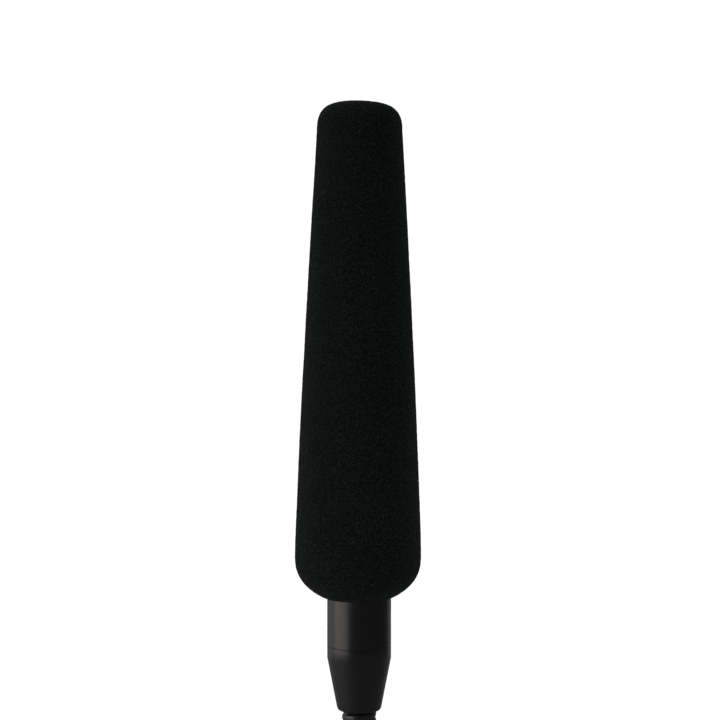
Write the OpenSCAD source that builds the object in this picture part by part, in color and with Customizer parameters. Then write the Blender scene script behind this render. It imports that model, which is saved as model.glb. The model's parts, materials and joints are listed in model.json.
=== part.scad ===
// Gooseneck podium microphone: a plug with its amplifier, a bending neck,
// a slotted head tube with a condenser capsule, and a foam windscreen.
// Millimetres. The origin is the centre of the plug's open end, and +Z runs up the straight neck.

/* [Plug] */
// Outside diameter of the plug's shell
plug_d = 19; // [18.9:0.05:19.1]
// Inside diameter of the plug's open mouth
mouth_d = 16.1; // [16:0.05:16.2]
// Depth of the plug's open mouth
mouth_depth = 15; // [14.5:0.1:15.5]
// Length of the barrel
barrel_len = 62; // [62:1:80]
// Diameter of the circle that the contacts stand on
contact_circle_d = 8.2; // [8:0.1:8.4]
// Diameter of one contact
contact_d = 2.4; // [2.3:0.05:2.5]

/* [Neck] */
// Number of links between the barrel's cap and the head
link_count = 11; // [5:2:11]
// Distance between two bending joints
link_pitch = 10; // [10:1:12]
// Outside diameter of the neck's coils
neck_d = 8.6; // [8.4:0.1:8.8]
// Diameter of the cable inside the neck
cable_d = 3.2; // [2.8:0.1:3.6]

/* [Head] */
// Outside diameter of the head tube
head_d = 16; // [15.8:0.1:16.2]
// Wall of the head tube
head_wall = 1; // [0.8:0.1:1.1]
// Bare head tube between the ferrule and the windscreen
bare_tube = 12; // [8:1:20]
// Length of the slotted interference tube
slotted_len = 88.5; // [88:0.5:89]
// Slots along one side of the interference tube
slot_rows = 5; // [3:1:5]

/* [Windscreen] */
// Height of the foam
foam_h = 123.45; // [121:0.05:128]
// Largest diameter of the foam, near its lower end
foam_belly_d = 31.5; // [29:0.5:34]
// Diameter of the foam where its top starts to round over
foam_shoulder_d = 21.4; // [20.8:0.1:23]
// Gap between the foam's hole and the tube
foam_gap = 0.15; // [0.1:0.05:0.2]

/* [Hidden] */

$fn = 64;
eps = 0.01;             // overshoot of a cutter past a face
fit = 0.02;             // gap of pieces that slip together and stay

// Plug and barrel
plug_r = plug_d / 2;
mouth_r = mouth_d / 2;
shell_r = 8.4;          // inside of the barrel behind the insert
insert_h = 8;
insert_top = mouth_depth + insert_h;
insert_r = shell_r - fit;
contact_r = contact_d / 2;
contact_tip = 1.6;      // height of the contact tips above the open end
cup_r = 1.5;            // solder cup behind each contact
cup_top = insert_top + 4;
contact_angles = [180, 0, 270];
lock_screw_z = mouth_depth + 4;
lock_screw_r = 1.25;
board_base = cup_top + 2.5;
board_top = barrel_len - 10;
board_w = 16.2;
board_t = 1;
carrier_wall = 0.95;
lead_r = 0.45;
can_r = 2.5;
header_h = 4;
spigot_len = 7;         // of the cap inside the barrel
seal_r = 0.45;
seal_z = barrel_len - 4;
cap_flange = 1.2;
cap_len = 12;

// Neck
neck_r = neck_d / 2;
coil_r = 0.65;          // round of one coil
coils_per_link = 4;
core_r = neck_r - 0.9;  // root between two coils
neck_bore_r = 2.2;
joint_gap = 0.55;       // held back on each side of a joint, so that 15 degrees stay free
neck_base = barrel_len + cap_len;
first_joint = neck_base + 3;
last_joint = first_joint + link_count * link_pitch;
cable_r = cable_d / 2;
crimp_r = neck_r + 0.05;

// Head
head_r = head_d / 2;
head_bore_r = head_r - head_wall;
ferrule_base = last_joint + 3;
ferrule_len = 16;
ferrule_spigot = 8;
head_base = ferrule_base + ferrule_len;
head_tube_len = 34;
slotted_base = head_base + head_tube_len;
slotted_spigot = 6;
slotted_top = slotted_base + slotted_len;
slot_w = 2.2;
slot_len = 12;
slot_pitch = 16;
cloth_t = 0.2;
cloth_r = head_bore_r - fit;
nose_h = 2.5;
nose_top = slotted_top + nose_h;
board2_z = head_base + ferrule_spigot + 2.6;
capsule_z = head_base + 16;
capsule_r = 5.8;
capsule_h = 9;
cup_wall = 0.4;
cup_bore_r = capsule_r - cup_wall;

// Foam, measured up from its rim
foam_z = head_base + bare_tube;
foam_belly_r = foam_belly_d / 2;
foam_shoulder_r = foam_shoulder_d / 2;
foam_lip_r = head_r + foam_gap;
foam_belly_h = 10.45;
foam_corner_h = 7.1;
foam_dome_h = 0.5;
foam_crown_r = 4.65;
foam_shoulder_h = foam_h - foam_corner_h;

// ---------- shared shapes ----------

module ring(r_out, r_in, z0, z1) {
    translate([0, 0, z0]) difference() {
        cylinder(r = r_out, h = z1 - z0);
        translate([0, 0, -eps]) cylinder(r = r_in, h = z1 - z0 + 2 * eps);
    }
}

module disc(r, z0, z1) {
    translate([0, 0, z0]) cylinder(r = r, h = z1 - z0);
}

// A round bar from p to q
module rod(p, q, r) {
    v = q - p;
    translate(p)
        rotate([0, acos(v.z / norm(v)), atan2(v.y, v.x)])
            cylinder(r = r, h = norm(v), $fn = 24);
}

module ring_of(count, radius, phase = 0) {
    for (i = [0 : count - 1])
        rotate(phase + 360 * i / count) translate([radius, 0, 0]) children();
}

// Height of a link's middle
function link_z(i) = first_joint + (i - 0.5) * link_pitch;

// A length of the neck from z0 to z1, with a round coil at each height in coils
module neck_length(z0, z1, coils) {
    color([0.06, 0.06, 0.06]) difference() {
        union() {
            disc(core_r, z0, z1);
            for (z = coils)
                translate([0, 0, z]) rotate_extrude()
                    translate([neck_r - coil_r, 0]) circle(r = coil_r, $fn = 32);
        }
        disc(neck_bore_r, z0 - eps, z1 + eps);
    }
}

// ---------- plug and barrel ----------

module barrel_tube() {
    chamfer = 0.4;
    window = [4.6, 3.2];
    key_w = 2.4;
    key_depth = 0.7;
    color([0.08, 0.08, 0.08]) difference() {
        rotate_extrude() polygon([
            [mouth_r + chamfer, 0], [plug_r - chamfer, 0], [plug_r, chamfer],
            [plug_r, barrel_len], [shell_r, barrel_len], [shell_r, mouth_depth],
            [mouth_r, mouth_depth], [mouth_r, chamfer]]);
        // Key slot and latch window
        translate([-key_w / 2, 0, -eps]) cube([key_w, mouth_r + key_depth, mouth_depth - 1]);
        translate([-window[0] / 2, 0, 7]) cube([window[0], plug_r + 1, window[1]]);
        // Hole for the insert's lock screw
        rod([0, 0, lock_screw_z], [0, -plug_r - 1, lock_screw_z], lock_screw_r);
    }
}

module xlr_insert() {
    color([0.12, 0.12, 0.12]) difference() {
        disc(insert_r, mouth_depth, insert_top);
        for (a = contact_angles)
            rotate(a) translate([contact_circle_d / 2, 0, mouth_depth - eps])
                cylinder(r = contact_r, h = insert_h + 2 * eps);
        rod([0, -6, lock_screw_z], [0, -insert_r - 1, lock_screw_z], lock_screw_r);
    }
}

module contact_pin(i) {
    color([0.85, 0.83, 0.78])
        rotate(contact_angles[i - 1]) translate([contact_circle_d / 2, 0, 0]) difference() {
            union() {
                translate([0, 0, contact_tip + contact_r]) sphere(r = contact_r);
                disc(contact_r, contact_tip + contact_r, insert_top);
                disc(cup_r, insert_top, cup_top);
            }
            disc(lead_r, cup_top - 3, cup_top + eps);
        }
}

// Joins the first contact to the shell and stays clear of the other two
module ground_tab() {
    tab_t = 0.3;
    hole_r = [cup_r, 2.1, 2.1];
    color([0.8, 0.78, 0.7]) difference() {
        disc(shell_r, insert_top, insert_top + tab_t);
        for (i = [0 : 2])
            rotate(contact_angles[i]) translate([contact_circle_d / 2, 0, 0])
                disc(hole_r[i], insert_top - eps, insert_top + tab_t + eps);
        translate([-8, 2.6, insert_top - eps]) cube([16, 6, tab_t + 2 * eps]);
    }
}

module insert_screw() {
    color([0.2, 0.2, 0.2]) difference() {
        rod([0, -6.1, lock_screw_z], [0, -plug_r + 0.4, lock_screw_z], lock_screw_r - fit);
        translate([0, -7.4, lock_screw_z]) rotate([90, 0, 0]) cylinder(r = 0.6, h = 3, $fn = 6);
    }
}

// One lead bends out of its solder cup and lies along the board's face
module contact_leads() {
    elbow_r = lead_r + 0.05;
    lie = board_t / 2 + elbow_r;
    color([0.7, 0.15, 0.1])
        for (a = contact_angles) {
            x = contact_circle_d / 2 * cos(a);
            y = contact_circle_d / 2 * sin(a);
            side = y < -1 ? -lie : lie;
            elbow = [x, y, cup_top + 0.6];
            bend = [x, side, board_base - 0.3];
            rod([x, y, cup_top - 3], elbow, lead_r);
            translate(elbow) sphere(r = elbow_r);
            rod(elbow, bend, lead_r);
            translate(bend) sphere(r = elbow_r);
            rod(bend, bend + [0, 0, 2], lead_r);
        }
}

module board_carrier() {
    color([0.16, 0.16, 0.16]) difference() {
        union() {
            ring(shell_r - fit, shell_r - carrier_wall, board_base, board_top);
            disc(shell_r - 0.5, board_top - 1, board_top);
        }
        translate([-10, -board_t / 2, board_base - 1]) cube([20, 20, board_top]);
        disc(3.2, board_top - 2, board_top + eps);
    }
}

module preamp_board() {
    color([0.05, 0.3, 0.15]) difference() {
        translate([-board_w / 2, -board_t / 2, board_base])
            cube([board_w, board_t, board_top - board_base]);
        for (x = [-1, 1], z = [board_base + 1.8, board_top - 1.8])
            rod([x * 6.2, -1, z], [x * 6.2, 1, z], 0.7);
    }
}

module board_capacitors() {
    can_h = 8;
    color([0.15, 0.15, 0.2])
        for (x = [-1, 1])
            translate([x * 3, board_t / 2 + can_r, board_base + 4.5]) cylinder(r = can_r, h = can_h);
}

// A flat-sided transistor case on the face of a board at y = 0
module transistor_case(r, h) {
    intersection() {
        translate([0, r * 0.6, 0]) cylinder(r = r, h = h);
        translate([-r, 0, 0]) cube([2 * r, 2 * r, h]);
    }
}

module board_transistors() {
    color([0.1, 0.1, 0.1])
        for (x = [-1, 1])
            translate([x * 5, board_t / 2, board_base + 14]) transistor_case(2.1, 4);
}

module board_resistors() {
    color([0.1, 0.1, 0.1])
        for (x = [-4.5, 0, 4.5], z = [board_base + 6, board_base + 11])
            translate([x - 0.8, -board_t / 2 - 0.5, z]) cube([1.6, 0.5, 3.2]);
}

module cable_header() {
    color([0.9, 0.9, 0.85])
        translate([-3.8, board_t / 2, board_top - header_h]) cube([7.6, 3, header_h]);
}

module barrel_seal() {
    color([0.03, 0.03, 0.03])
        translate([0, 0, seal_z]) rotate_extrude()
            translate([shell_r - fit - seal_r, 0]) circle(r = seal_r, $fn = 24);
}

module barrel_cap() {
    color([0.08, 0.08, 0.08]) rotate_extrude() difference() {
        polygon([
            [cable_r + 0.1, barrel_len - spigot_len], [shell_r - fit, barrel_len - spigot_len],
            [shell_r - fit, barrel_len], [plug_r, barrel_len],
            [plug_r, barrel_len + cap_flange], [plug_r - 0.3, barrel_len + cap_flange + 0.3],
            [crimp_r + 1.4, neck_base - 0.6], [crimp_r + 0.9, neck_base], [crimp_r, neck_base],
            [crimp_r, barrel_len + 1], [cable_r + 0.1, barrel_len + 1]]);
        translate([shell_r - fit - 2 * seal_r, seal_z - seal_r])
            square([2 * seal_r + eps, 2 * seal_r]);
    }
}

// ---------- neck ----------

module neck_foot() {
    color([0.06, 0.06, 0.06]) ring(crimp_r, neck_bore_r, barrel_len + 1, neck_base - 1);
    neck_length(neck_base - 1, first_joint - joint_gap, [first_joint - 1.25]);
}

module neck_link(i) {
    half = link_pitch / 2;
    step = link_pitch / coils_per_link;
    neck_length(link_z(i) - half + joint_gap, link_z(i) + half - joint_gap,
        [for (k = [0 : coils_per_link - 1]) link_z(i) - half + (k + 0.5) * step]);
}

// The cable ends in three cores at each end
module signal_cable() {
    low = barrel_len - 6;
    high = head_base + 6;
    color([0.1, 0.1, 0.1]) disc(cable_r, low, high);
    for (a = [0 : 120 : 240]) {
        x = 0.85 * cos(a + 90);
        y = 0.85 * sin(a + 90);
        color([0.5, 0.1, 0.1]) rod([x, y, high], [x, y, board2_z], 0.4);
        color([0.5, 0.1, 0.1])
            rod([x, y, low], [2.2 * cos(a + 90), 2, board_top + 0.25], 0.4);
    }
}

// ---------- head ----------

module neck_tip() {
    neck_length(last_joint + joint_gap, ferrule_base + 1, [last_joint + 1.25]);
    color([0.06, 0.06, 0.06]) ring(crimp_r, neck_bore_r, ferrule_base + 1, ferrule_base + 13);
}

module head_ferrule() {
    lip = crimp_r + 0.9;
    color([0.09, 0.09, 0.09]) difference() {
        rotate_extrude() polygon([
            [crimp_r, ferrule_base], [lip, ferrule_base], [lip + 0.3, ferrule_base + 0.5],
            [head_r, head_base - 3], [head_r, head_base],
            [head_bore_r - fit, head_base], [head_bore_r - fit, head_base + ferrule_spigot],
            [cable_r + 0.1, head_base + ferrule_spigot], [cable_r + 0.1, ferrule_base + 13],
            [crimp_r, ferrule_base + 13]]);
        rod([0, crimp_r - 1, ferrule_base + 8], [0, head_r + 1, ferrule_base + 8], 1);
    }
}

module grub_screw() {
    z = ferrule_base + 8;
    color([0.2, 0.2, 0.2]) difference() {
        rod([0, crimp_r, z], [0, head_r - 1.7, z], 1 - fit);
        translate([0, head_r - 1.6, z]) rotate([90, 0, 0]) cylinder(r = 0.5, h = 0.9, $fn = 6);
    }
}

module head_tube() {
    color([0.1, 0.1, 0.1]) ring(head_r, head_bore_r, head_base, slotted_base);
}

module capsule_board() {
    color([0.05, 0.3, 0.15]) difference() {
        disc(head_bore_r - fit, board2_z, board2_z + 1);
        translate([-4.6, 0, board2_z - eps]) cylinder(r = 0.5, h = 2);
    }
}

module capsule_transistor() {
    color([0.1, 0.1, 0.1])
        translate([0, 2.6, board2_z + 1]) transistor_case(1.9, 3.2);
}

module contact_spring() {
    color([0.85, 0.8, 0.6]) {
        disc(0.9, board2_z + 1, board2_z + 2.2);
        disc(0.45, board2_z + 2.2, capsule_z + 5.6);
    }
}

module isolator_ring(z) {
    color([0.04, 0.04, 0.04]) ring(head_bore_r - fit, capsule_r, z, z + 2.4);
}

module capsule_cup() {
    color([0.75, 0.6, 0.3]) difference() {
        disc(capsule_r, capsule_z, capsule_z + capsule_h);
        disc(cup_bore_r, capsule_z - eps, capsule_z + capsule_h - cup_wall);
        translate([0, 0, capsule_z + capsule_h - 1]) {
            cylinder(r = 0.7, h = 2);
            ring_of(6, 3) cylinder(r = 0.7, h = 2);
        }
    }
}

module capsule_base() {
    color([0.6, 0.5, 0.3]) ring(cup_bore_r - fit, 0.8, capsule_z, capsule_z + 1.2);
}

module backplate_insulator() {
    color([0.85, 0.85, 0.8]) difference() {
        disc(cup_bore_r - fit, capsule_z + 1.2, capsule_z + 7.2);
        disc(4.5, capsule_z + 1.2 - eps, capsule_z + 4.6);
        disc(0.8, capsule_z + 4, capsule_z + 6);
        disc(4.9, capsule_z + 5.6, capsule_z + 7.2 + eps);
    }
}

module backplate() {
    color([0.8, 0.7, 0.4]) difference() {
        disc(4.88, capsule_z + 5.6, capsule_z + 7.2);
        translate([0, 0, capsule_z + 5]) ring_of(6, 3) cylinder(r = 0.4, h = 3);
    }
}

module spacer_ring() {
    color([0.9, 0.9, 0.9]) ring(cup_bore_r - fit, 4.6, capsule_z + 7.2, capsule_z + 7.4);
}

module diaphragm() {
    color([0.9, 0.75, 0.3]) disc(cup_bore_r - fit, capsule_z + 7.4, capsule_z + 7.5);
}

module diaphragm_ring() {
    color([0.75, 0.6, 0.3])
        ring(cup_bore_r - fit, 4.7, capsule_z + 7.5, capsule_z + capsule_h - cup_wall);
}

module capsule_retainer() {
    color([0.3, 0.3, 0.3])
        ring(head_bore_r - fit, capsule_r - 0.6, capsule_z + capsule_h, capsule_z + capsule_h + 1.2);
}

module interference_tube() {
    first_slot = slotted_base + 4 + slot_w / 2;
    color([0.1, 0.1, 0.1]) difference() {
        union() {
            disc(head_bore_r - fit, slotted_base - slotted_spigot, slotted_base);
            disc(head_r, slotted_base, slotted_top);
        }
        disc(head_bore_r - head_wall, slotted_base - slotted_spigot - eps, slotted_base + 1);
        disc(head_bore_r, slotted_base + 1 - eps, slotted_top + eps);
        for (side = [0, 90], row = [0 : slot_rows - 1])
            rotate(side) translate([0, 0, first_slot + row * slot_pitch]) {
                translate([-head_r - 1, -slot_w / 2, 0]) cube([2 * head_r + 2, slot_w, slot_len]);
                for (z = [0, slot_len])
                    rod([-head_r - 1, 0, z], [head_r + 1, 0, z], slot_w / 2);
            }
    }
}

module acoustic_cloth() {
    color([0.05, 0.05, 0.05])
        ring(cloth_r, cloth_r - cloth_t, slotted_base + 1, slotted_top - 3.2);
}

module nose_ring() {
    color([0.1, 0.1, 0.1]) difference() {
        union() {
            disc(head_bore_r - fit, slotted_top - 3, slotted_top);
            disc(head_r, slotted_top, nose_top);
        }
        disc(6, slotted_top - 3 - eps, nose_top);
        disc(6.8, nose_top - 0.8, nose_top + eps);
    }
}

module nose_mesh() {
    color([0.3, 0.3, 0.3]) difference() {
        disc(6.8 - fit, nose_top - 0.8, nose_top - 0.4);
        translate([0, 0, nose_top - 1]) {
            cylinder(r = 0.6, h = 1);
            ring_of(6, 2) cylinder(r = 0.6, h = 1);
            ring_of(12, 4) cylinder(r = 0.6, h = 1);
        }
    }
}

// ---------- windscreen ----------

// Rounded lower end, from the rim out to the belly
function foam_bottom() = [for (a = [0 : 6 : 90])
    [foam_lip_r + (foam_belly_r - foam_lip_r) * pow(sin(a), 1.8),
     foam_belly_h * (1 - pow(cos(a), 0.755))]];

// Gently bowed taper, from the belly up to the shoulder
function foam_side() = [for (k = [1 : 10])
    [foam_shoulder_r + (foam_belly_r - foam_shoulder_r) * (1 - pow(k / 10, 1.22)),
     foam_belly_h + (foam_shoulder_h - foam_belly_h) * k / 10]];

// Rounded corner between the shoulder and the crown
function foam_corner() = [for (a = [10 : 10 : 90])
    [foam_crown_r + (foam_shoulder_r - foam_crown_r) * pow(cos(a), 0.765),
     foam_shoulder_h + (foam_corner_h - foam_dome_h) * pow(sin(a), 0.765)]];

module foam_windscreen() {
    bore_top = nose_top + 0.5 - foam_z;
    color([0.07, 0.08, 0.08]) translate([0, 0, foam_z]) rotate_extrude()
        polygon(concat(foam_bottom(), foam_side(), foam_corner(),
            [[foam_crown_r * 0.5, foam_h - foam_dome_h * 0.25], [0, foam_h],
             [0, bore_top], [foam_lip_r, bore_top]]));
}

// ---------- drawing ----------

barrel_tube();
xlr_insert();
for (i = [1 : 3])
    contact_pin(i);
ground_tab();
insert_screw();
contact_leads();
board_carrier();
preamp_board();
board_capacitors();
board_transistors();
board_resistors();
cable_header();
barrel_seal();
barrel_cap();
neck_foot();
signal_cable();
for (i = [1 : link_count])
    neck_link(i);
neck_tip();
head_ferrule();
grub_screw();
head_tube();
capsule_board();
capsule_transistor();
contact_spring();
isolator_ring(capsule_z + 0.8);  // isolator_ring_lower
isolator_ring(capsule_z + 5.8);  // isolator_ring_upper
capsule_cup();
capsule_base();
backplate_insulator();
backplate();
spacer_ring();
diaphragm();
diaphragm_ring();
capsule_retainer();
interference_tube();
acoustic_cloth();
nose_ring();
nose_mesh();
foam_windscreen();
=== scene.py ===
import json
import math

import bmesh
import bpy
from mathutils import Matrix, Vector, noise

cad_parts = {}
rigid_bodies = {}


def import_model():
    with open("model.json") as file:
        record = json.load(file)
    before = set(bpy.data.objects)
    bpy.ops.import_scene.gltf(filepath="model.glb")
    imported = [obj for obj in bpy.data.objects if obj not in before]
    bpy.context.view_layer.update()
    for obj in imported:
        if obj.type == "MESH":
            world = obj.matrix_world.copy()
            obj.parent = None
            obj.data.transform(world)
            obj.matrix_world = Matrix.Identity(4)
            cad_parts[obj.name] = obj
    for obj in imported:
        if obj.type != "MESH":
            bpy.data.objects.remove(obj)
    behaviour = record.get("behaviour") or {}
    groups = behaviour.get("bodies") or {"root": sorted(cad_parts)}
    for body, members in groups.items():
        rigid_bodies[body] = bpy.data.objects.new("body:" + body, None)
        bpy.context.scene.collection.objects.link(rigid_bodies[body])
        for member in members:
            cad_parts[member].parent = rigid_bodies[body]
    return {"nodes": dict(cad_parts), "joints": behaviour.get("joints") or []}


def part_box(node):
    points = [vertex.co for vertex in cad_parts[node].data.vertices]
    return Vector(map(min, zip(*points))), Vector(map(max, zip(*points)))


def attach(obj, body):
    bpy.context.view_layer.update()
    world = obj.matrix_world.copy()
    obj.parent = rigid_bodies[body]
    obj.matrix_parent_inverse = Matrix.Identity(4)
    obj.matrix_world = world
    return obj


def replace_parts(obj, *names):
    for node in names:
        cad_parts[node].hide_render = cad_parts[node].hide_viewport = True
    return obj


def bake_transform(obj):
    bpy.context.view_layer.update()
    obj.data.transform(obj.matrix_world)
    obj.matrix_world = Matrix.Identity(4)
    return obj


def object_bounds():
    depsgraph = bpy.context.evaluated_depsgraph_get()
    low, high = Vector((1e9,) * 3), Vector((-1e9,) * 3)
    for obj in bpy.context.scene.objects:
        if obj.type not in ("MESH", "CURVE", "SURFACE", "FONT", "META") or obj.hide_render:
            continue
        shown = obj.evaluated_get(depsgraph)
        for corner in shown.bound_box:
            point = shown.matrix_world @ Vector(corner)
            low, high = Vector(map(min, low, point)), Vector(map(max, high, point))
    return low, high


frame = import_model()
cad_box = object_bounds()

MM = 0.001
TAU = 2 * math.pi
nodes = frame["nodes"]


# ---------- places, all from the frame ----------

def low(node):
    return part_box(node)[0]


def high(node):
    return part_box(node)[1]


foam_z = low("foam_windscreen").z
foam_top = high("foam_windscreen").z
foam_belly_r = high("foam_windscreen").x
head_r = high("head_tube").x
nose_top = high("nose_ring").z
neck_r = high("neck_link_1").x
bends = [j for j in frame["joints"] if j["type"] == "hinge"]
pitch = bends[1]["pos_m"][2] - bends[0]["pos_m"][2]
chain = [bends[0]["parent"]] + [j["child"] for j in bends]


# ---------- mesh tools ----------

def mesh_object(name, verts, faces, sharp=math.radians(35)):
    """A smooth-shaded mesh whose edges over the sharp angle stay crisp."""
    mesh = bpy.data.meshes.new(name)
    mesh.from_pydata([tuple(v) for v in verts], [], faces)
    shell = bmesh.new()
    shell.from_mesh(mesh)
    bmesh.ops.recalc_face_normals(shell, faces=shell.faces)
    shell.to_mesh(mesh)
    shell.free()
    obj = bpy.data.objects.new(name, mesh)
    bpy.context.scene.collection.objects.link(obj)
    mesh.shade_smooth()
    mesh.set_sharp_from_angle(angle=sharp)
    return obj


def revolve(name, outline, steps, shift=None, fixed=0):
    """Turns a closed outline of (radius, height) about Z. A radius of 0 is one point on the axis.
    shift(point) moves each vertex, but for those of the first fixed points."""
    verts, faces, rings = [], [], []
    for r, z in outline:
        count = 1 if r < 1e-7 else steps
        rings.append([len(verts) + k % count for k in range(steps)])
        ring = [Vector((r * math.cos(TAU * k / steps), r * math.sin(TAU * k / steps), z))
                for k in range(count)]
        verts += [shift(v) for v in ring] if shift and len(rings) > fixed else ring
    closed = rings + ([] if outline[0][0] < 1e-7 and outline[-1][0] < 1e-7 else rings[:1])
    for lower, upper in zip(closed, closed[1:]):
        for k in range(steps):
            n = (k + 1) % steps
            corners = [lower[k], lower[n], upper[n], upper[k]]
            face = list(dict.fromkeys(corners))
            if len(face) > 2:
                faces.append(face)
    return mesh_object(name, verts, faces)


def sweep(name, path, section):
    """A closed bar. path is a list of (centre, outward, along) frames and section a loop of (out, up)."""
    verts, faces = [], []
    count = len(section)
    for centre, outward, along in path:
        up = outward.cross(along)
        verts += [centre + outward * a + up * b for a, b in section]
    for i in range(len(path) - 1):
        for k in range(count):
            n = (k + 1) % count
            a, b = i * count, (i + 1) * count
            faces.append([a + k, a + n, b + n, b + k])
    last = (len(path) - 1) * count
    faces.append(list(reversed(range(count))))
    faces.append([last + k for k in range(count)])
    return mesh_object(name, verts, faces, math.radians(50))


def even_spacing(points, step):
    """The same line with a point about every step."""
    out = [points[0]]
    for p, q in zip(points, points[1:]):
        length = math.dist(p, q)
        parts = max(1, round(length / step))
        out += [tuple(a + (b - a) * k / parts for a, b in zip(p, q)) for k in range(1, parts + 1)]
    return out


# ---------- materials ----------

class Shader:
    """A Principled material with helpers for its texture nodes, in object space."""

    def __init__(self, name, color, roughness, metallic=0.0, specular=0.5):
        self.mat = bpy.data.materials.new(name)
        self.mat.use_nodes = True
        self.tree = self.mat.node_tree
        self.out = self.tree.nodes["Principled BSDF"]
        self.out.inputs["Base Color"].default_value = (*color, 1)
        self.out.inputs["Roughness"].default_value = roughness
        self.out.inputs["Metallic"].default_value = metallic
        self.out.inputs["Specular IOR Level"].default_value = specular
        self.coords = self.add("ShaderNodeTexCoord").outputs["Object"]
        self.normal = None

    def add(self, kind, **settings):
        node = self.tree.nodes.new(kind)
        for key, value in settings.items():
            setattr(node, key, value)
        return node

    def link(self, a, b):
        self.tree.links.new(a, b)

    def scaled(self, scale):
        mapping = self.add("ShaderNodeMapping")
        mapping.inputs["Scale"].default_value = scale
        self.link(self.coords, mapping.inputs["Vector"])
        return mapping.outputs["Vector"]

    def noise(self, size, detail=3.0, stretch=(1, 1, 1), rough=0.5):
        """Cloudy noise whose grains are about size metres, stretched along each axis."""
        tex = self.add("ShaderNodeTexNoise")
        tex.inputs["Scale"].default_value = 1.0
        tex.inputs["Detail"].default_value = detail
        tex.inputs["Roughness"].default_value = rough
        self.link(self.scaled([1 / (size * s) for s in stretch]), tex.inputs["Vector"])
        return tex.outputs["Fac"]

    def cells(self, size, feature="F1"):
        tex = self.add("ShaderNodeTexVoronoi", feature=feature)
        tex.inputs["Scale"].default_value = 1.0
        self.link(self.scaled([1 / size] * 3), tex.inputs["Vector"])
        return tex.outputs["Distance"]

    def spread(self, value, low_in, high_in, low_out, high_out):
        node = self.add("ShaderNodeMapRange")
        for socket, number in zip(("From Min", "From Max", "To Min", "To Max"),
                                  (low_in, high_in, low_out, high_out)):
            node.inputs[socket].default_value = number
        self.link(value, node.inputs["Value"])
        return node.outputs["Result"]

    def mix(self, factor, dark, light):
        node = self.add("ShaderNodeMix", data_type="RGBA")
        node.inputs["A"].default_value = (*dark, 1)
        node.inputs["B"].default_value = (*light, 1)
        self.link(factor, node.inputs["Factor"])
        return node.outputs["Result"]

    def color(self, socket):
        self.link(socket, self.out.inputs["Base Color"])

    def rough(self, value, low_out, high_out, low_in=0.3, high_in=0.7):
        self.link(self.spread(value, low_in, high_in, low_out, high_out), self.out.inputs["Roughness"])

    def bump(self, height, distance, strength=1.0):
        node = self.add("ShaderNodeBump")
        node.inputs["Distance"].default_value = distance
        node.inputs["Strength"].default_value = strength
        self.link(height, node.inputs["Height"])
        if self.normal:
            self.link(self.normal, node.inputs["Normal"])
        self.normal = node.outputs["Normal"]
        self.link(self.normal, self.out.inputs["Normal"])


def tint(color, factor):
    return [c * factor for c in color]


def satin_black(name, color=(0.0066, 0.0064, 0.0064), rough=0.34):
    """Black anodised aluminium with a fine blasted grain."""
    s = Shader(name, color, rough, metallic=0.0, specular=0.5)
    cloud = s.noise(9 * MM, 4)
    grain = s.noise(0.22 * MM, 2)
    s.color(s.mix(s.spread(cloud, 0.3, 0.7, 0, 1), tint(color, 0.8), tint(color, 1.25)))
    s.rough(cloud, rough - 0.03, rough + 0.04)
    s.bump(grain, 0.004 * MM, 0.5)
    return s.mat


def metal(name, color, rough, brushed=None):
    s = Shader(name, color, rough, metallic=1.0)
    cloud = s.noise(2.5 * MM, 3)
    s.color(s.mix(s.spread(cloud, 0.3, 0.7, 0, 1), tint(color, 0.82), color))
    s.rough(cloud, rough * 0.8, rough * 1.25)
    s.bump(s.noise(0.12 * MM, 2, brushed or (1, 1, 1)), 0.003 * MM, 0.6)
    return s.mat


def plastic(name, color, rough, grain=0.25 * MM):
    s = Shader(name, color, rough)
    s.color(s.mix(s.spread(s.noise(4 * MM, 3), 0.3, 0.7, 0, 1), tint(color, 0.85), tint(color, 1.1)))
    s.rough(s.noise(1.5 * MM, 2), rough * 0.9, min(1, rough * 1.15))
    s.bump(s.noise(grain, 2), 0.006 * MM, 0.6)
    return s.mat


def rubber(name, color=(0.012, 0.012, 0.012), rough=0.6):
    s = Shader(name, color, rough, specular=0.3)
    s.color(s.mix(s.spread(s.noise(1.2 * MM, 4), 0.3, 0.7, 0, 1), color, tint(color, 1.6)))
    s.rough(s.noise(0.8 * MM, 2), rough * 0.9, rough * 1.15)
    s.bump(s.noise(0.1 * MM, 3), 0.008 * MM, 0.6)
    return s.mat


def laminate(name):
    """Green circuit board: paler copper tracks under the lacquer, and a fine glass weave."""
    s = Shader(name, (0.01, 0.1, 0.04), 0.35)
    tracks = s.add("ShaderNodeTexBrick")
    tracks.inputs["Scale"].default_value = 1.0
    tracks.inputs["Mortar Size"].default_value = 0.06
    tracks.inputs["Color1"].default_value = (0.008, 0.085, 0.035, 1)
    tracks.inputs["Color2"].default_value = (0.012, 0.12, 0.05, 1)
    tracks.inputs["Mortar"].default_value = (0.035, 0.22, 0.09, 1)
    s.link(s.scaled([1 / (3 * MM), 1 / (3 * MM), 1 / (2 * MM)]), tracks.inputs["Vector"])
    s.color(tracks.outputs["Color"])
    s.rough(s.noise(2 * MM), 0.28, 0.42)
    s.bump(s.noise(0.3 * MM, 1, (1, 1, 0.3)), 0.004 * MM, 0.5)
    return s.mat


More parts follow.
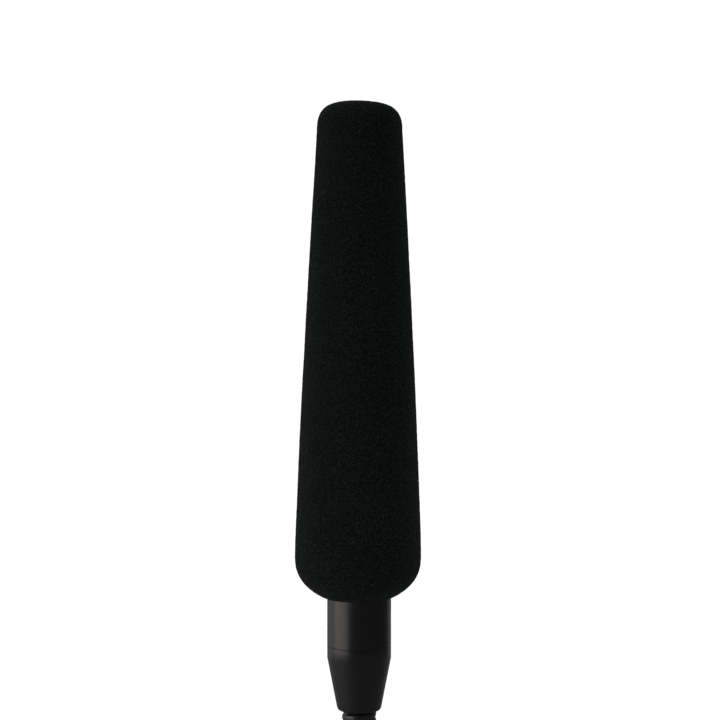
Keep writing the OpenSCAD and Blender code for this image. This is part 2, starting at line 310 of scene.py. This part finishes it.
def cloth_weave(name, color=(0.012, 0.012, 0.012)):
    """Fine acoustic cloth: crossed threads 0.25 mm apart."""
    s = Shader(name, color, 0.9, specular=0.2)
    s.out.inputs["Sheen Weight"].default_value = 0.25
    threads = []
    for axis in ("Z", "X"):
        wave = s.add("ShaderNodeTexWave", bands_direction=axis)
        wave.inputs["Scale"].default_value = 1 / (0.8 * MM)
        wave.inputs["Distortion"].default_value = 0.6
        wave.inputs["Detail"].default_value = 1.0
        s.link(s.coords, wave.inputs["Vector"])
        threads.append(wave.outputs["Fac"])
    both = s.add("ShaderNodeMath", operation="MAXIMUM")
    s.link(threads[0], both.inputs[0])
    s.link(threads[1], both.inputs[1])
    s.color(s.mix(both.outputs["Value"], tint(color, 0.5), tint(color, 1.6)))
    s.bump(both.outputs["Value"], 0.04 * MM)
    return s.mat


def foam_material():
    """Black open-cell foam: small pits, dull, with a faint cool cast. Painted shade darkens its colour in
    the pits, so that the cell rims stand paler, and painted shade darkens it towards the crown.
    """
    base = (0.0178, 0.0232, 0.0213)
    s = Shader("foam", base, 1.0, specular=0.03)
    s.out.inputs["Diffuse Roughness"].default_value = 1.0
    s.out.inputs["Sheen Weight"].default_value = 0.03
    s.out.inputs["Sheen Roughness"].default_value = 0.6
    pits = s.cells(0.42 * MM, "SMOOTH_F1")
    fine = s.noise(0.22 * MM, 3)
    patch = s.noise(14 * MM, 3)
    # Painted shade: the colour darkens into each pit of the cells (the same pits as the bump) and stays
    # paler on their rims.
    pit_shade = s.spread(pits, 0.1, 0.75, 0, 1)
    # Fine noise adds random grain to the painted pit shade.
    pit_shade_and_grain = s.add("ShaderNodeMath", operation="MULTIPLY")
    s.link(pit_shade, pit_shade_and_grain.inputs[0])
    s.link(s.spread(fine, 0.35, 0.65, 0.3, 1), pit_shade_and_grain.inputs[1])
    # The skin's colour carries the painted pit shade: near black in the pits, paler on the rims.
    skin = s.mix(pit_shade_and_grain.outputs["Value"], tint(base, 0.15), tint(base, 1.9))
    shade = s.add("ShaderNodeMix", data_type="RGBA", blend_type="MULTIPLY")
    shade.inputs["Factor"].default_value = 1.0
    s.link(skin, shade.inputs["A"])
    s.link(s.mix(s.spread(patch, 0.3, 0.7, 0, 1), [0.9] * 3, [1.08] * 3), shade.inputs["B"])
    # Painted shade: the colour is paler at the rim and darker towards the crown.
    height = s.add("ShaderNodeSeparateXYZ")
    s.link(s.coords, height.inputs["Vector"])
    painted_height_shade = s.add("ShaderNodeMix", data_type="RGBA", blend_type="MULTIPLY")
    painted_height_shade.inputs["Factor"].default_value = 1.0
    s.link(shade.outputs["Result"], painted_height_shade.inputs["A"])
    s.link(s.mix(s.spread(height.outputs["Z"], foam_z, foam_top, 0, 1), [1.12] * 3, (0.84, 0.86, 0.86)),
           painted_height_shade.inputs["B"])
    s.color(painted_height_shade.outputs["Result"])
    s.bump(pits, 0.16 * MM, 0.8)
    s.bump(fine, 0.05 * MM, 0.6)
    return s.mat


def screw_steel(name):
    return metal(name, (0.05, 0.05, 0.05), 0.35)


# ---------- foam windscreen ----------

FOAM_SHOULDER_R = 10.7 * MM     # where the top starts to round over
FOAM_CORNER_H = 7.1 * MM
FOAM_DOME_H = 0.5 * MM
FOAM_CROWN_R = 4.65 * MM
FOAM_BELLY_H = 10.45 * MM
FOAM_BOTTOM_CURVE = (1.8, 0.755)    # exponents of its curves: the lower end, outwards and up
FOAM_SIDE_CURVE = 1.22
FOAM_CORNER_CURVE = 0.765
FOAM_HUG = 0.04 * MM            # how close the foam's hole comes to the tube
FOAM_LIP = 0.5 * MM             # round of the rim's edge
FOAM_LEAN = math.radians(0.23)  # the skin leans this far towards +X, about the height below
FOAM_PIVOT_H = 82 * MM
FOAM_TRIM = 0.025               # fall of its crown towards +X, where it was cut a little askew
FOAM_GRAIN = 0.045 * MM         # height of the skin's cells
FOAM_SWELL = 0.05 * MM          # height of its slow unevenness
FOAM_FACET = 0.30 * MM          # size of the skin's faces
FOAM_STEPS = 300                # round the skin


def foam_outline():
    """(radius, height) from the rim, over the belly and the taper, to the crown."""
    rim_r = head_r + FOAM_HUG + FOAM_LIP
    height = foam_top - foam_z
    shoulder_h = height - FOAM_CORNER_H
    belly_r = foam_belly_r
    points = []
    for k in range(41):
        a = math.pi / 2 * k / 40
        points.append((rim_r + (belly_r - rim_r) * math.sin(a) ** FOAM_BOTTOM_CURVE[0],
                       FOAM_BELLY_H * (1 - math.cos(a) ** FOAM_BOTTOM_CURVE[1])))
    for k in range(1, 81):
        t = k / 80
        points.append((FOAM_SHOULDER_R + (belly_r - FOAM_SHOULDER_R) * (1 - t ** FOAM_SIDE_CURVE),
                       FOAM_BELLY_H + (shoulder_h - FOAM_BELLY_H) * t))
    for k in range(1, 31):
        a = math.pi / 2 * k / 30
        across = max(0, math.cos(a)) ** FOAM_CORNER_CURVE
        points.append((FOAM_CROWN_R + (FOAM_SHOULDER_R - FOAM_CROWN_R) * across,
                       shoulder_h + (FOAM_CORNER_H - FOAM_DOME_H) * math.sin(a) ** FOAM_CORNER_CURVE))
    for k in range(1, 11):
        t = k / 10
        points.append((FOAM_CROWN_R * (1 - t),
                       height - FOAM_DOME_H + FOAM_DOME_H * (1 - (1 - t) ** 2)))
    return [(r, foam_z + h) for r, h in points]


def foam_relief(v):
    """Moves a point of the skin in and out by the foam's own unevenness, and leans it a little."""
    grain = noise.noise(v / (0.75 * MM)) + 0.6 * noise.noise(v / (0.42 * MM) + Vector((7, 3, 1)))
    swell = noise.noise(v / (11 * MM) + Vector((2, 9, 4)))
    radial = Vector((v.x, v.y, 0))
    crown = max(0.0, min(1.0, (v.z - foam_top + FOAM_CORNER_H) / FOAM_CORNER_H))
    if radial.length < 0.3 * MM:
        out = Vector((0, 0, 1))
    else:
        out = (radial.normalized() * (1 - crown * 0.7) + Vector((0, 0, crown))).normalized()
    lean = math.tan(FOAM_LEAN) * (v.z - foam_z - FOAM_PIVOT_H)
    shift = Vector((lean, 0, -FOAM_TRIM * v.x * crown))
    return v + shift + out * (FOAM_GRAIN * grain + FOAM_SWELL * swell)


def make_foam():
    skin = even_spacing(foam_outline(), FOAM_FACET)
    bore_r = head_r + FOAM_HUG
    bore_top = nose_top + 0.4 * MM
    lip = [(bore_r + FOAM_LIP * (1 - math.sin(a)), foam_z + FOAM_LIP * (1 - math.cos(a)))
           for a in (math.pi / 2 * k / 5 for k in range(1, 6))]
    bore = even_spacing([lip[-1], (bore_r, bore_top), (0.0, bore_top)], 2 * MM)
    inner = list(reversed(bore)) + list(reversed(lip[:-1]))
    obj = revolve("foam_cover", inner + skin, FOAM_STEPS, foam_relief, fixed=len(inner))
    obj.data.materials.append(foam_material())
    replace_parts(obj, "foam_windscreen")
    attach(obj, "windscreen")


# ---------- neck ----------

COIL_TURN = 2.0 * MM            # rise of the neck's wire in one turn
COIL_GAP = 0.22 * MM            # groove between two turns
COIL_DEPTH = 1.3 * MM
COIL_STEPS = 40                 # round one turn
LINING_T = 0.4 * MM


def coil_section():
    """A D-shaped wire: a crowned outside, flat sides and a flat back, as (out, up)."""
    half = (COIL_TURN - COIL_GAP) / 2
    crown = [(0.45 * MM * (math.cos(a) - 1), half * math.sin(a))
             for a in (math.pi / 2 * k / 5 for k in range(-5, 6))]
    return crown + [(-COIL_DEPTH, half * 0.8), (-COIL_DEPTH, -half * 0.8)]


def coil_path(z0, z1):
    """Frames along the helix at its outer radius, from the height z0 to z1."""
    first = round((z0 - bends[0]["pos_m"][2]) / COIL_TURN * COIL_STEPS)
    last = round((z1 - bends[0]["pos_m"][2]) / COIL_TURN * COIL_STEPS)
    path = []
    for i in range(first, last + 1):
        a = TAU * i / COIL_STEPS
        outward = Vector((math.cos(a), math.sin(a), 0))
        along = Vector((-math.sin(a) * neck_r, math.cos(a) * neck_r, COIL_TURN / TAU)).normalized()
        z = bends[0]["pos_m"][2] + COIL_TURN * i / COIL_STEPS
        path.append((outward * neck_r + Vector((0, 0, z)), outward, along))
    return path


def neck_length(k):
    """Heights of the piece at bend k: from the middle of one link to the middle of the next.
    The first and last pieces run on into the cap and the ferrule."""
    z = bends[k]["pos_m"][2]
    z0 = low("neck_foot").z + 0.5 * MM if k == 0 else z - pitch / 2
    z1 = high("neck_tip").z - 0.5 * MM if k == len(bends) - 1 else z + pitch / 2
    return z0, z1


def bend_piece(obj):
    """Bakes obj's placement into its mesh."""
    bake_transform(obj)


def coil_material():
    """Blackened spring wire: satin, mottled and a little uneven in its gloss."""
    color = (0.012, 0.0115, 0.011)
    s = Shader("neck_coil", color, 0.36)
    s.color(s.mix(s.spread(s.noise(1.4 * MM, 4), 0.35, 0.7, 0, 1), tint(color, 0.7), tint(color, 1.7)))
    s.rough(s.noise(0.9 * MM, 3), 0.28, 0.46)
    s.bump(s.noise(0.12 * MM, 2), 0.004 * MM, 0.6)
    return s.mat


def upright_tube(name, outer, inner, z0, z1, steps, mat):
    """A tube along the neck with a ring of points about every millimetre."""
    rows = max(2, round((z1 - z0) / (1.0 * MM)))
    heights = [z0 + (z1 - z0) * i / rows for i in range(rows + 1)]
    obj = revolve(name, [(inner, z) for z in heights] + [(outer, z) for z in reversed(heights)], steps)
    obj.data.materials.append(mat)
    return obj


def make_neck():
    coil = coil_material()
    lining = rubber("neck_lining", (0.006, 0.006, 0.006), 0.7)
    wall = neck_r - COIL_DEPTH + 0.1 * MM
    links = ["neck_foot"] + [f"neck_link_{k}" for k in range(1, len(bends))] + ["neck_tip"]
    for k in range(len(bends)):
        z0, z1 = neck_length(k)
        wire = sweep(f"neck_wire_{k + 1}", coil_path(z0, z1), coil_section())
        wire.data.materials.append(coil)
        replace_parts(wire, links[k], links[k + 1])
        bend_piece(wire)
        tube = upright_tube(f"neck_lining_{k + 1}", wall, wall - LINING_T, z0, z1, 32, lining)
        bend_piece(tube)


JACKET_R = 1.6 * MM
CORE_R = 0.4 * MM
CORE_RING = 0.85 * MM           # circle that the three cores leave the jacket on


def core_lead(name, path):
    """One insulated core along a bent line of points, with rounded corners."""
    curve = bpy.data.curves.new(name, "CURVE")
    curve.dimensions = "3D"
    curve.bevel_depth = CORE_R
    curve.bevel_resolution = 4
    curve.use_fill_caps = True
    spline = curve.splines.new("NURBS")
    spline.points.add(len(path) - 1)
    for point, place in zip(spline.points, path):
        point.co = (*place, 1)
    spline.order_u = 3
    spline.use_endpoint_u = True
    obj = bpy.data.objects.new(name, curve)
    bpy.context.scene.collection.objects.link(obj)
    return obj


def make_cable():
    """The cable's jacket in short lengths along the neck, and its cores at each end."""
    jacket = rubber("cable_jacket", (0.02, 0.02, 0.02), 0.45)
    core_colors = {"red": (0.4, 0.02, 0.02), "white": (0.6, 0.6, 0.56), "blue": (0.02, 0.05, 0.3)}
    header_top = high("cable_header").z
    foot = low("signal_cable").z + 4 * MM
    board = low("capsule_board").z
    head = board - 4.6 * MM
    first = neck_length(0)[0]
    last = neck_length(len(bends) - 1)[1]

    def run(name, z0, z1):
        obj = upright_tube(name, JACKET_R, JACKET_R * 0.55, z0, z1, 24, jacket)
        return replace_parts(obj, "signal_cable")

    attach(run("cable_foot", foot, first), chain[0])
    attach(run("cable_head", last, head), chain[-1])
    for k in range(len(bends)):
        bend_piece(run(f"cable_run_{k + 1}", *neck_length(k)))
    for i, (color, value) in enumerate(core_colors.items()):
        a = math.radians(90 + 120 * i)
        x, y = CORE_RING * math.cos(a), CORE_RING * math.sin(a)
        sleeve = plastic(f"core_{color}", value, 0.35)
        plug_x = 2.2 * MM * math.cos(a)
        lower = core_lead(f"core_{color}_foot", [
            (x, y, foot + 1 * MM), (x, y, foot - 1 * MM), (plug_x, 2 * MM, header_top + 1.2 * MM),
            (plug_x, 2 * MM, header_top)])
        upper = core_lead(f"core_{color}_head", [
            (x, y, head - 1 * MM), (x, y, head + 1.5 * MM), (x * 1.6, y * 1.6, board - 1.2 * MM),
            (x * 1.6, y * 1.6, board)])
        for lead, body in ((lower, chain[0]), (upper, chain[-1])):
            lead.data.materials.append(sleeve)
            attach(lead, body)


# ---------- CAD nodes with their finish ----------

def finish_nodes():
    """Gives each CAD node its material."""
    black = satin_black("black_aluminium")
    tube_black = satin_black("tube_aluminium", rough=0.34)
    brass = metal("capsule_brass", (0.62, 0.45, 0.2), 0.3)
    silver = metal("contact_silver", (0.78, 0.76, 0.70), 0.18, (1, 1, 6))
    steel = screw_steel("black_steel")
    seal = rubber("seal_rubber")
    board = laminate("board_laminate")
    chip = plastic("chip_case", (0.012, 0.012, 0.012), 0.5)
    finishes = {
        black: ["barrel_tube", "barrel_cap", "head_ferrule"],
        tube_black: ["head_tube", "interference_tube", "nose_ring"],
        plastic("plug_insulator", (0.012, 0.012, 0.012), 0.45): ["xlr_insert"],
        silver: ["contact_pin_1", "contact_pin_2", "contact_pin_3"],
        metal("spring_metal", (0.7, 0.58, 0.34), 0.3): ["ground_tab", "contact_spring"],
        steel: ["insert_screw", "grub_screw"],
        plastic("lead_sleeve", (0.4, 0.03, 0.02), 0.35): ["contact_leads"],
        plastic("carrier_plastic", (0.02, 0.02, 0.02), 0.5): ["board_carrier"],
        board: ["preamp_board", "capsule_board"],
        plastic("can_sleeve", (0.01, 0.012, 0.04), 0.3): ["board_capacitors"],
        chip: ["board_transistors", "board_resistors", "capsule_transistor"],
        plastic("header_plastic", (0.62, 0.6, 0.52), 0.4): ["cable_header"],
        seal: ["barrel_seal", "isolator_ring_lower", "isolator_ring_upper"],
        brass: ["capsule_cup", "capsule_base", "diaphragm_ring"],
        metal("backplate_brass", (0.72, 0.56, 0.28), 0.15): ["backplate"],
        plastic("insulator_plastic", (0.7, 0.7, 0.66), 0.4): ["backplate_insulator"],
        plastic("spacer_film", (0.7, 0.7, 0.68), 0.3): ["spacer_ring"],
        metal("diaphragm_film", (0.85, 0.66, 0.3), 0.12): ["diaphragm"],
        plastic("retainer_plastic", (0.02, 0.02, 0.02), 0.55): ["capsule_retainer"],
        cloth_weave("acoustic_cloth"): ["acoustic_cloth"],
        metal("nose_mesh", (0.1, 0.1, 0.1), 0.35): ["nose_mesh"],
    }
    for mat, names in finishes.items():
        for name in names:
            obj = nodes[name]
            obj.data.materials.clear()
            obj.data.materials.append(mat)


def soften(name, body, width=0.12 * MM):
    """Stands a copy in for a CAD node. Its hard edges are rounded a little, so that they catch the
    light, and the faces that were turned about Z get the normals of a true round surface."""
    shell = bmesh.new()
    shell.from_mesh(nodes[name].data)
    bmesh.ops.remove_doubles(shell, verts=shell.verts, dist=0.001 * MM)
    bmesh.ops.dissolve_limit(shell, angle_limit=math.radians(1), verts=shell.verts, edges=shell.edges)
    hard = [e for e in shell.edges
            if len(e.link_faces) == 2 and e.calc_face_angle(0) > math.radians(30)]
    bmesh.ops.bevel(shell, geom=hard, offset=width, segments=2, profile=0.5, affect="EDGES")
    mesh = nodes[name].data.copy()
    shell.to_mesh(mesh)
    shell.free()
    mesh.shade_smooth()
    obj = bpy.data.objects.new(name + "_finished", mesh)
    bpy.context.scene.collection.objects.link(obj)
    normals = [Vector() for _ in mesh.vertices]
    for face in mesh.polygons:
        radial = Vector((face.center.x, face.center.y, 0)).normalized()
        level = Vector((face.normal.x, face.normal.y, 0))
        turned = level.length > 0.1 and abs(level.normalized().dot(radial)) > 0.995
        for i in face.vertices:
            normal = face.normal
            if turned:
                at = mesh.vertices[i].co
                outward = Vector((at.x, at.y, 0)).normalized()
                normal = outward * level.dot(radial) + Vector((0, 0, face.normal.z))
            normals[i] += normal * face.area ** 2
    mesh.normals_split_custom_set_from_vertices([n.normalized() for n in normals])
    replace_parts(obj, name)
    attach(obj, body)


# ---------- stage ----------

def make_floor():
    """A pale disc. Seen from underneath it is clear, so that the plug's mouth shows."""
    radius = 0.6
    floor = mesh_object("floor", [(radius * math.cos(TAU * k / 96), radius * math.sin(TAU * k / 96), 0)
                                  for k in range(96)], [list(range(96))])
    floor.location.z = cad_box[0].z - 0.0002
    s = Shader("floor", (0.36, 0.36, 0.36), 0.7, specular=0.0)
    gradient = s.add("ShaderNodeTexGradient", gradient_type="SPHERICAL")
    s.link(s.scaled([1 / radius] * 3), gradient.inputs["Vector"])
    glow = s.spread(gradient.outputs["Fac"], 0.02, 0.6, 1.0, 0.62)
    path = s.add("ShaderNodeLightPath")
    seen = s.add("ShaderNodeMath", operation="MULTIPLY")
    s.link(glow, seen.inputs[0])
    s.link(path.outputs["Is Camera Ray"], seen.inputs[1])
    s.out.inputs["Emission Color"].default_value = (1, 1, 1, 1)
    s.link(seen.outputs["Value"], s.out.inputs["Emission Strength"])
    side = s.add("ShaderNodeNewGeometry")
    one_sided = s.add("ShaderNodeMixShader")
    s.link(side.outputs["Backfacing"], one_sided.inputs["Fac"])
    s.link(s.out.outputs["BSDF"], one_sided.inputs[1])
    s.link(s.add("ShaderNodeBsdfTransparent").outputs["BSDF"], one_sided.inputs[2])
    s.link(one_sided.outputs["Shader"], s.tree.nodes["Material Output"].inputs["Surface"])
    floor.data.materials.append(s.mat)


def softbox(name, azimuth, elevation, span, height, radiance, color=(1, 1, 1), **rays):
    """A soft panel facing the head. azimuth 0 is at the camera and 90 at its right, and span is
    the angle that the panel's width takes up, seen from the head."""
    distance = 0.75
    target = Vector((0, 0, (foam_z + foam_top) / 2))
    return panel(name, target, azimuth, elevation, distance,
                 (2 * distance * math.tan(math.radians(span / 2)), height), radiance, color, rays)


def panel(name, target, azimuth, elevation, distance, size, radiance, color=(1, 1, 1), rays=None):
    """A light of that size that faces target. rays says which kinds of ray see it."""
    a, e = math.radians(azimuth), math.radians(elevation)
    away = Vector((math.sin(a) * math.cos(e), -math.cos(a) * math.cos(e), math.sin(e)))
    data = bpy.data.lights.new(name, "AREA")
    data.shape = "RECTANGLE"
    data.size, data.size_y = size
    data.energy = math.pi * size[0] * size[1] * radiance
    data.color = color
    obj = bpy.data.objects.new(name, data)
    obj.location = target + away * distance
    obj.rotation_mode = "QUATERNION"
    obj.rotation_quaternion = (-away).to_track_quat("-Z", "Y")
    obj.visible_camera = False
    for ray, seen in (rays or {}).items():
        setattr(obj, f"visible_{ray}", seen)
    bpy.context.scene.collection.objects.link(obj)
    return obj


def make_lights():
    """Four panels light the dull surfaces and two others only show as reflections. Two stand
    behind, one overhead, and a low one that only shows as a reflection is aimed at the barrel."""
    warm = (1, 0.96, 0.94)
    tinted = (1, 0.93, 0.91)
    cool = (0.88, 1, 0.98)
    softbox("key", -93, 30, 20, 0.5, 2.7, warm, glossy=False)
    softbox("front_key", -55, 15, 20, 0.5, 2.9, warm, glossy=False)
    softbox("fill", 40, 10, 20, 0.5, 1.9, cool, glossy=False)
    softbox("right_fill", 105, 10, 30, 0.5, 0.8, cool, glossy=False)
    softbox("key_reflection", -70, -8, 56, 1.0, 2.0, tinted, diffuse=False)
    softbox("side_reflection", -120, -8, 45, 1.0, 0.5, diffuse=False)
    softbox("back", 180, 0, 30, 0.9, 2.0)
    softbox("back_right", 140, 0, 20, 0.9, 0.35)
    softbox("overhead", 0, 85, 30, 0.4, 1.2)
    barrel_middle = Vector((0, 0, 0.05))
    low_side = panel("low_side", barrel_middle, 95, 0, 0.35, (0.3, 0.08), 3, rays={"diffuse": False})
    low_side.data.spread = math.radians(26)


def make_world():
    """White to the camera, and a dim even grey to everything else."""
    world = bpy.data.worlds.new("studio")
    bpy.context.scene.world = world
    world.use_nodes = True
    tree = world.node_tree
    back = tree.nodes["Background"]
    back.inputs["Color"].default_value = (0.083, 0.085, 0.085, 1)
    white = tree.nodes.new("ShaderNodeBackground")
    white.inputs["Color"].default_value = (1, 1, 1, 1)
    white.inputs["Strength"].default_value = 1.05
    path = tree.nodes.new("ShaderNodeLightPath")
    mix = tree.nodes.new("ShaderNodeMixShader")
    tree.links.new(path.outputs["Is Camera Ray"], mix.inputs["Fac"])
    tree.links.new(back.outputs["Background"], mix.inputs[1])
    tree.links.new(white.outputs["Background"], mix.inputs[2])
    tree.links.new(mix.outputs["Shader"], tree.nodes["World Output"].inputs["Surface"])


def make_camera():
    """Level with the lower middle of the foam, square on, close."""
    data = bpy.data.cameras.new("camera")
    data.lens = 68.75
    data.sensor_width = 36
    data.clip_start = 0.01
    data.clip_end = 100
    camera = bpy.data.objects.new("camera", data)
    camera.location = (0.21 * MM, -343.75 * MM, foam_z + 59.15 * MM)
    camera.rotation_euler = (math.radians(90), 0, 0)
    bpy.context.scene.collection.objects.link(camera)
    bpy.context.scene.camera = camera


make_camera()
make_world()
make_floor()
make_lights()
bpy.context.scene.view_settings.view_transform = "Standard"

finish_nodes()
soften("barrel_tube", "base")
soften("barrel_cap", "base")
soften("xlr_insert", "base")
soften("head_ferrule", "head")
soften("head_tube", "head")
make_neck()
make_cable()
make_foam()
